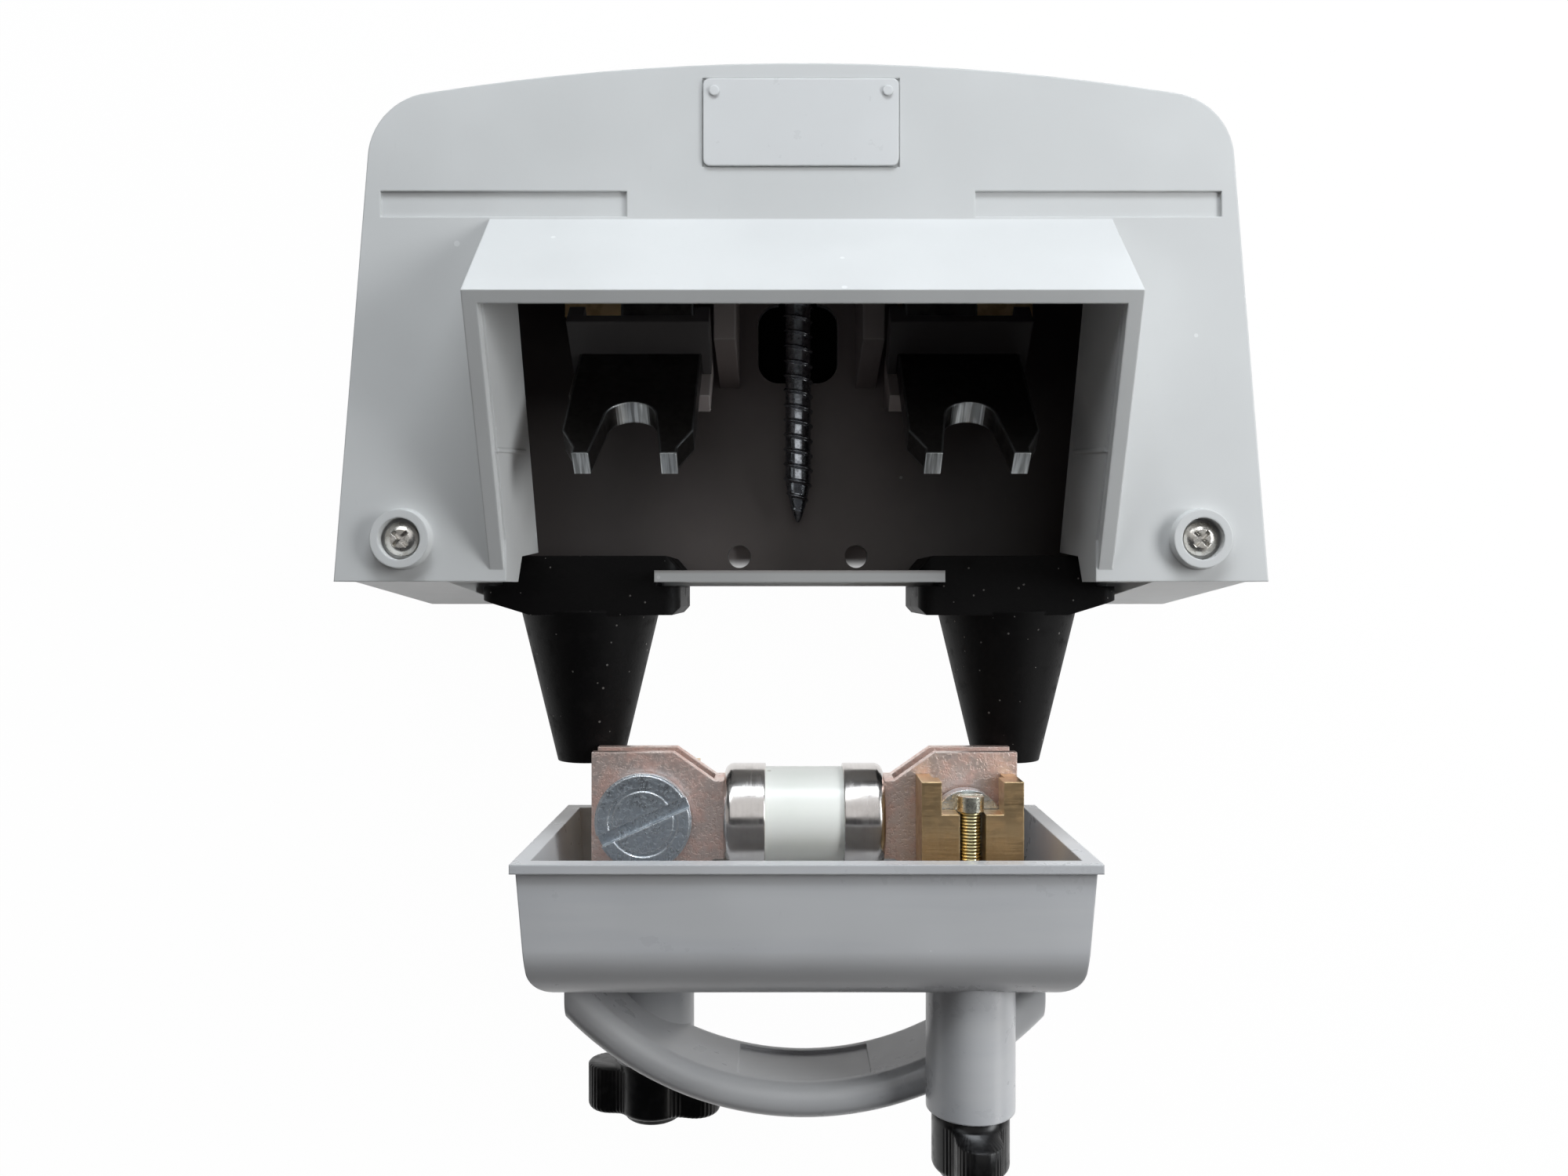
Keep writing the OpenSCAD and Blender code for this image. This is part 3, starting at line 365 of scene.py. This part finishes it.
bladeEnd = (0, -0.6947, 0.7193)      # the way the fork blades' bare ends look
spindleThread = {"pitch": 0.0008, "start": -0.1472, "runOut": 0.0003, "head": (0.78, 0.77, 0.66),
                 "groove": (-0.9, 0.5), "grooveShade": 0.35, "waveHeight": 0.5, "lineHeight": 0.1}
finishes = {
    "grey_plastic": mouldedPlastic("mouldedGrey", (0.600, 0.605, 0.600)),
    "plate_plastic": mouldedPlastic("plateGrey", (0.66, 0.665, 0.665), 0.30),
    "dark_plastic": mouldedPlastic("shroudGrey", (0.060, 0.055, 0.055), 0.5),
    "stainless": metal("stainless", (0.80, 0.78, 0.74), 0.22, (0.55, 0.52, 0.47), 0.002,
                       fine=0.0003),
    "brass": metal("sawnBrass", (0.80, 0.57, 0.31), 0.32, (0.62, 0.41, 0.21), 0.004,
                   brushed=(0.06, 1, 1), fine=0.0007, depth=0.00007, edgeHighlightTone=(0.95, 0.76, 0.46)),
    "zinc_steel": metal("brightZinc", (0.78, 0.86, 0.93), 0.27, (0.52, 0.59, 0.66), 0.0035,
                        brushed=(1, 0.3, 1), fine=0.0005, depth=0.00003,
                        edgeHighlightTone=(0.96, 0.98, 1.0), edgeHighlightShare=0.8, pitSize=0.0011),
    "black_oxide": metal("blackOxide", (0.60, 0.64, 0.69), 0.18, (0.26, 0.27, 0.29), 0.0016,
                         fine=0.0005, depth=0.00003),
    "ceramic": glazedCeramic("glazedCeramic"),
    "silver_strip": metal("silverStrip", (0.72, 0.71, 0.69), 0.3),
    "rubber": rubber("matRubber"),
    "tinned_copper": metal("dullTin", (0.075, 0.070, 0.068), 0.34, (0.035, 0.032, 0.030), 0.006,
                           fine=0.0006, depth=0.00002, soft=0.0006, edgeHighlightTone=(0.40, 0.42, 0.43),
                           edgeHighlightShare=0.6, cutFace=(bladeEnd, (0.86, 0.90, 0.91))),
    "nickel_cap": metal("satinNickel", (0.74, 0.71, 0.69), 0.17, (0.62, 0.59, 0.57), 0.010,
                        brushed=(1, 0.04, 0.04), fine=0.0008, depth=0.000006),
    "tinned_tag": metal("tinnedTag", (0.95, 0.80, 0.74), 0.40, (0.88, 0.60, 0.52), 0.006,
                        fine=0.0008, depth=0.00004, edgeHighlightTone=(0.90, 0.82, 0.76), pitSize=0.0009),
    "yellow_zinc": metal("yellowZinc", (0.88, 0.80, 0.46), 0.26, (0.70, 0.63, 0.36), 0.003,
                         depth=0.00020, soft=0.0002, edgeHighlightTone=(0.90, 0.87, 0.60),
                         thread=spindleThread),
    "knob_plastic": glossPlastic("knobBlack"),
}
# the carrier's own moulding, a little darker than the housing's grey, partly as painted shade for
# the less light it sits in; its bands are painted sheen
carrierShadedGrey = mouldedPlastic("carrierShadedGrey", (0.570, 0.570, 0.575), 0.34, bands=0.20)
# the base's inside carries painted shade, darker towards the sides
shadedInsideGrey = mouldedPlastic("baseGreyShadedInside", (0.600, 0.605, 0.600), inside=(0.310, 0.270, 0.260))
ownFinish = {"back_box": shadedInsideGrey, "inner_walls": shadedInsideGrey, "carrier_body": carrierShadedGrey}
for part in frame["record"]["subparts"]:
    slots = nodes[part["node"]].data.materials
    slots.clear()
    slots.append(ownFinish.get(part["node"], finishes[part["material_slot"]]))
print("finishes ready:", len(finishes))


def gridPiece(name, points, finish, body, stands):
    # points is rows x around x 3: neighbours make the faces, and one face closes each end
    rows, around = points.shape[:2]
    number = np.arange(rows * around).reshape(rows, around)
    up, down = number[:-1], number[1:]
    faces = np.stack([up, np.roll(up, -1, 1), np.roll(down, -1, 1), down], -1)
    faces = faces.reshape(-1, 4).tolist() + [number[0][::-1].tolist(), number[-1].tolist()]
    mesh = bpy.data.meshes.new(name)
    mesh.from_pydata(points.reshape(-1, 3).tolist(), [], faces)
    mesh.polygons.foreach_set("use_smooth", [True] * len(mesh.polygons))
    mesh.materials.append(finishes[finish])
    mesh.update()
    piece = bpy.data.objects.new(name, mesh)
    bpy.context.scene.collection.objects.link(piece)
    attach(piece, body)
    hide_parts(stands)


coachScrew = {
    "pitch": 0.0042, "root": 0.0036, "crest": 0.0043, "ridgeWidth": 0.13, "ridgePower": 0.7,
    "tipStart": 0.0002, "tipLength": 0.012, "tipPower": 0.6,
    "plainShank": 0.28, "shankStep": 0.0015, "fadeStart": 0.002, "fadeLength": 0.004,
    "headDepth": 0.006,
    # distance from under the head, and the share of the hexagon there
    "headRows": [(0, 0.95), (0.0004, 1), (0.0054, 1), (0.0059, 0.985), (0.006, 0.93),
                 (0.006, 0.02)],
    "steps": 520, "around": 72,
}


def helicalScrew(size, low, high):
    # radius = root + (crest - root) * ridge, where ridge peaks once a turn of
    # (distance / pitch - angle / full turn); near the tip it shrinks with a power of the distance,
    # the plain shank has the crest's radius, and the head's radius is that of a hexagon
    length = high[1] - low[1]
    headStart = length - size["headDepth"]
    threadEnd = length * (1 - size["plainShank"])
    head = np.array(size["headRows"])
    along = np.concatenate([np.linspace(size["tipStart"], headStart, size["steps"]),
                            headStart + head[:, 0]])
    headShare = np.concatenate([np.zeros(size["steps"]), head[:, 1]])[:, None]
    turn = np.linspace(0, fullTurn, size["around"], endpoint=False)
    s, a = np.meshgrid(along, turn, indexing="ij")
    phase = np.mod(s / size["pitch"] - a / fullTurn, 1.0)
    ridge = np.clip(1 - np.abs(phase - 0.5) / size["ridgeWidth"], 0, 1) ** size["ridgePower"]
    fade = (np.clip((threadEnd - s) / size["fadeLength"], 0, 1)
            * np.clip((s - size["fadeStart"]) / size["fadeLength"], 0, 1))
    plain = np.clip((s - threadEnd) / size["shankStep"], 0, 1)
    taper = np.clip(s / size["tipLength"], 0, 1) ** size["tipPower"]
    swell = size["crest"] - size["root"]
    radius = np.where(s > threadEnd, size["root"] + swell * plain,
                      (size["root"] + swell * ridge * fade) * taper)
    flats = (high[2] - low[2]) / 2 / np.cos(np.mod(a, np.pi / 3) - np.pi / 6)
    hexagon = np.minimum(flats, (high[0] - low[0]) / 2)
    radius = np.where(headShare > 0, hexagon * headShare, radius)
    x = (low[0] + high[0]) / 2 + radius * np.cos(a)
    z = (low[2] + high[2]) / 2 + radius * np.sin(a)
    return np.stack([x, low[1] + s, z], -1)[:, ::-1]


low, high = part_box("coach_screw")
gridPiece("coachScrewHelix", helicalScrew(coachScrew, low, high), "black_oxide", "base",
          "coach_screw")
print("coach screw cut")

fuseCap = {"mouthBevel": 0.00025, "shoulder": 0.0024, "wall": 0.00088, "endWall": 0.0009,
           "innerEdge": 0.0002, "edge": 0.0001, "endFlat": 0.9, "bendSteps": 9, "around": 96}


def capProfile(size, length, outer):
    # (distance from the mouth, radius): from the middle of the inner floor out over the mouth,
    # along the outside, then length - shoulder + shoulder * sine and outer - shoulder +
    # shoulder * cosine round the shoulder, and to the middle of the end
    bend = np.linspace(0, np.pi / 2, size["bendSteps"])
    shoulder, bevel, edge = size["shoulder"], size["mouthBevel"], size["edge"]
    floor, inner = length - size["endWall"], outer - size["wall"]
    return ([(floor, poleRadius), (floor, inner - size["innerEdge"]), (floor, inner),
             (floor - size["innerEdge"], inner), (edge, inner), (0, inner + edge),
             (0, outer - bevel), (bevel * 0.3, outer - bevel * 0.3), (bevel, outer),
             (length - shoulder - edge, outer)]
            + [(length - shoulder + shoulder * math.sin(t),
                outer - shoulder + shoulder * math.cos(t)) for t in bend]
            + [(length, (outer - shoulder) * size["endFlat"]), (length, poleRadius)])


def turned(profile, centre, around, outward):
    # a profile of (distance along X, radius) turned about the X line through centre:
    # y = centre y + radius * cos(angle), z = centre z + radius * sin(angle)
    line = np.array(profile)
    turn = np.linspace(0, fullTurn, around, endpoint=False)
    x = np.repeat((centre[0] + outward * line[:, 0])[:, None], around, 1)
    y = centre[1] + line[:, 1][:, None] * np.cos(turn)
    z = centre[2] + line[:, 1][:, None] * np.sin(turn)
    return np.stack([x, y, z], -1)[:, ::outward]     # the left cap's rows run the other way round


for side, outward in (("left", -1), ("right", 1)):
    low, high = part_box("fuse_cap_" + side)
    mouth = low[0] if outward > 0 else high[0]
    centre = (mouth, (low[1] + high[1]) / 2, (low[2] + high[2]) / 2)
    profile = capProfile(fuseCap, high[0] - low[0], (high[1] - low[1]) / 2)
    gridPiece("fuseCap" + side.capitalize(), turned(profile, centre, fuseCap["around"], outward),
              "nickel_cap", "carrier", "fuse_cap_" + side)
print("fuse caps turned")

wingKnob = {
    "hub": 0.0096, "tip": 0.0056, "tipRoom": 0.0004, "waistBlend": 0.0046,
    "bore": 0.00252, "boreDepth": 0.0122, "drop": 0.0022, "hubBevel": 0.0003, "wingBevel": 0.0004,
    "wingRise": 0.0005, "rounding": 0.0016, "capHeight": 0.0014, "hubEnd": 0.0078,
    "capRise": 0.0004, "capBevel": 0.0005, "edge": 0.0001,
    "ribPitch": 0.00115, "ribDepth": 0.00022, "ribLow": 0.10, "ribHigh": 0.80, "ribFade": 0.10,
    "around": 720, "bendSteps": 7, "halvings": 26,
    "turns": {"left": 8, "right": 90},     # degrees about the spindle
}


def knobOutline(size, reach, angles):
    # the radius at which a smooth minimum of three circles' distances, a hub and two tips, is zero:
    # smooth minimum of a and b = min(a, b) - blend * max(0, 1 - |a - b| / blend) ^ 2 / 4,
    # found by halving
    spot = reach - size["tip"]
    near, far = np.full(angles.shape, size["hub"] * 0.5), np.full(angles.shape, reach + 0.001)
    for step in range(size["halvings"]):
        middle = (near + far) / 2
        x, z = np.abs(middle * np.cos(angles)), middle * np.sin(angles)
        hub, tip = middle - size["hub"], np.hypot(x - spot, z) - size["tip"]
        mixed = np.maximum(0, 1 - np.abs(hub - tip) / size["waistBlend"])
        inside = np.minimum(hub, tip) - size["waistBlend"] * mixed ** 2 / 4 < 0
        near, far = np.where(inside, middle, near), np.where(inside, far, middle)
    return near


def ribDrop(size, rim, angles):
    # ribDepth * (0.5 + 0.5 cos(full turn * length along the rim / pitch)) on the wings' flanks
    steps = np.hypot(np.roll(rim, -1) * np.cos(angles[1]) - rim,
                     np.roll(rim, -1) * np.sin(angles[1]))
    travelled = np.concatenate([[0], np.cumsum(steps)[:-1]])
    count = np.round(travelled[-1] / size["ribPitch"])
    rise = np.abs(np.sin(angles))
    flank = (np.clip((rise - size["ribLow"]) / size["ribFade"], 0, 1)
             * np.clip((size["ribHigh"] - rise) / size["ribFade"], 0, 1))
    wave = 0.5 + 0.5 * np.cos(fullTurn * count * travelled / travelled[-1])
    return size["ribDepth"] * flank * wave


def wingedKnob(size, low, high, turn):
    # rows of (height, radius) round the knob's own axis: bore floor, bore, hub collar, wings with
    # a rounded lower rim, hub end; x = axis x + radius * cos(angle + turn) and
    # z = axis z + radius * sin(angle + turn)
    angles = np.linspace(0, fullTurn, size["around"], endpoint=False)
    ring = np.ones_like(angles)
    length, hub, end = high[1] - low[1], size["hub"], size["hubEnd"]
    reach = max(high[0] - low[0], high[2] - low[2]) / 2 - size["tipRoom"]
    rim = knobOutline(size, reach, angles)
    rim = rim - ribDrop(size, rim, angles)
    wingTop, wingEnd = size["drop"], length - size["capHeight"]
    rows = [(size["boreDepth"], ring * poleRadius), (size["boreDepth"], ring * size["bore"]),
            (0, ring * size["bore"]), (0, ring * (hub - size["hubBevel"])),
            (size["hubBevel"], ring * hub), (wingTop, ring * hub),
            (wingTop + size["edge"], np.maximum(rim - size["wingBevel"], hub)),
            (wingTop + size["wingRise"], rim)]
    rounding = size["rounding"]
    rows += [(wingEnd - rounding * (1 - np.sin(t)), rim - rounding * (1 - np.cos(t)))
             for t in np.linspace(0, np.pi / 2, size["bendSteps"])]
    rows += [(wingEnd, ring * (end + size["edge"])), (length - size["capRise"], ring * end),
             (length, ring * (end - size["capBevel"])), (length, ring * poleRadius)]
    height = np.array([row[0] for row in rows])[:, None]
    radius = np.stack([row[1] for row in rows])
    x = (low[0] + high[0]) / 2 + radius * np.cos(angles + turn)
    z = (low[2] + high[2]) / 2 + radius * np.sin(angles + turn)
    return np.stack([x, high[1] - height + 0 * x, z], -1)


for side, turn in wingKnob["turns"].items():
    low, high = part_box("knob_" + side)
    gridPiece("wingKnob" + side.capitalize(), wingedKnob(wingKnob, low, high, math.radians(turn)),
              "knob_plastic", "knob_" + side + "_body", "knob_" + side)
print("knobs moulded")

studio = {
    "floorTone": (0.86, 0.86, 0.86), "floorGlow": 0.985,    # the share of plain white past shadows
    "floorReach": 3, "floorDrop": 0.0002,
    "underShadeNear": (0.62, 0.56, 0.54), "underShadeFar": (0.01, 0.01, 0.01), "underShadeY": (-0.066, -0.05),
    "baseMiddleY": -0.033, "baseHalfX": (0.083, 0.089), "baseHalfY": (0.050, 0.056),
    "skyLow": (0.095, 0.097, 0.102), "skyHigh": (0.05, 0.05, 0.053), "skyRise": (0.08, 0.62),
    "skyShown": (0.97, 0.97, 0.97),
    "lamps": [  # name, watts, tint, place, aim, width, height
        ("windowLamp", 6.6, (0.90, 0.95, 1.0), (0.10, 0.74, 0.42), (0.0, -0.05, 0.05), 0.6, 0.24),
        ("backLamp", 0.5, (0.92, 0.97, 1.0), (-0.20, 0.28, 0.34), (0.0, -0.06, 0.05), 0.3, 0.16),
        ("rightLamp", 1.9, (0.95, 0.98, 1.0), (0.45, 0.0, 0.32), (0.0, -0.06, 0.05), 0.3, 0.16),
        ("cornerLamp", 0.7, (1.0, 0.97, 0.94), (0.70, -0.60, 0.36), (0.0, -0.06, 0.05), 0.4, 0.2),
        ("leftLamp", 0.16, (1.0, 0.95, 0.90), (-0.60, -0.10, 0.30), (0.0, -0.10, 0.03), 0.3, 0.5),
        ("cardLamp", 2.5, (1.0, 0.99, 0.98), (0.0, 0.36, 0.95), (0.0, -0.12, 0.03), 1.2, 0.9),
    ],
}


def paleFloor():
    # white to the camera and in gloss, and below the base no glow but a painted shadow seen through
    # holes: tan near the lower wall, black further in
    p = Paint(bpy.data.materials.new("paleFloor"))
    rays = [p.add("ShaderNodeLightPath", out="Is %s Ray" % kind)
            for kind in ("Camera", "Glossy", "Transmission")]
    seen = (rays[0] + rays[1] + rays[2]).calc("MINIMUM", 1.0)
    under = (p.ramp(abs(p.axis("X")), *studio["baseHalfX"], 1, 0)
             * p.ramp(abs(p.axis("Y") - studio["baseMiddleY"]), *studio["baseHalfY"], 1, 0))
    # painted shadow under the base: tan near the lower wall, black further in
    underShade = p.blend(p.ramp(p.axis("Y"), *studio["underShadeY"]), studio["underShadeNear"],
                     studio["underShadeFar"])
    glow = p.add("ShaderNodeEmission", None, {"Color": (1, 1, 1), "Strength": 1.0})
    matt = p.add("ShaderNodeBsdfPrincipled", None,
                 {"Base Color": p.blend(under, studio["floorTone"], underShade),
                  "Roughness": 1.0, "Specular IOR Level": 0.0})
    mixed = p.add("ShaderNodeMixShader", None,
                  {0: seen * studio["floorGlow"] * (1 - under), 1: matt, 2: glow})
    p.add("ShaderNodeOutputMaterial", None, {"Surface": mixed})
    return p.owner


reach, height = studio["floorReach"], cadBounds[0].z - studio["floorDrop"]
mesh = bpy.data.meshes.new("floor")
mesh.from_pydata([(-reach, -reach, height), (reach, -reach, height), (reach, reach, height),
                  (-reach, reach, height)], [], [(0, 1, 2, 3)])
mesh.materials.append(paleFloor())
floor = bpy.data.objects.new("floor", mesh)
bpy.context.scene.collection.objects.link(floor)

world = bpy.data.worlds.new("studioSky")
bpy.context.scene.world = world
sky = Paint(world)
up = sky.axis("Z", sky.add("ShaderNodeTexCoord", out="Generated"))
tone = sky.blend(sky.ramp(up, *studio["skyRise"]), studio["skyLow"], studio["skyHigh"])
seen = sky.add("ShaderNodeLightPath", out="Is Camera Ray")
shine = sky.add("ShaderNodeBackground", None,
                {"Color": sky.blend(seen, tone, studio["skyShown"]), "Strength": 1.0})
sky.add("ShaderNodeOutputWorld", None, {"Surface": shine})

for name, watts, tint, spot, aim, width, height in studio["lamps"]:
    data = bpy.data.lights.new(name, "AREA")
    data.shape, data.size, data.size_y = "RECTANGLE", width, height
    data.energy, data.color = watts, tint
    lamp = bpy.data.objects.new(name, data)
    lamp.location = spot
    lamp.rotation_euler = (Vector(aim) - Vector(spot)).to_track_quat("-Z", "Y").to_euler()
    lamp.visible_diffuse = name != "cardLamp"     # the card only shines in metal and gloss
    bpy.context.scene.collection.objects.link(lamp)

lens = {"place": (-0.004, -0.092, 0.327), "focal": 25.56, "sensor": 36.0, "clip": (0.01, 20)}
data = bpy.data.cameras.new("camera")
data.lens, data.sensor_width = lens["focal"], lens["sensor"]
data.clip_start, data.clip_end = lens["clip"]
camera = bpy.data.objects.new("camera", data)
camera.location = lens["place"]
bpy.context.scene.collection.objects.link(camera)
bpy.context.scene.camera = camera
bpy.context.scene.view_settings.view_transform = "Standard"
print("studio ready")
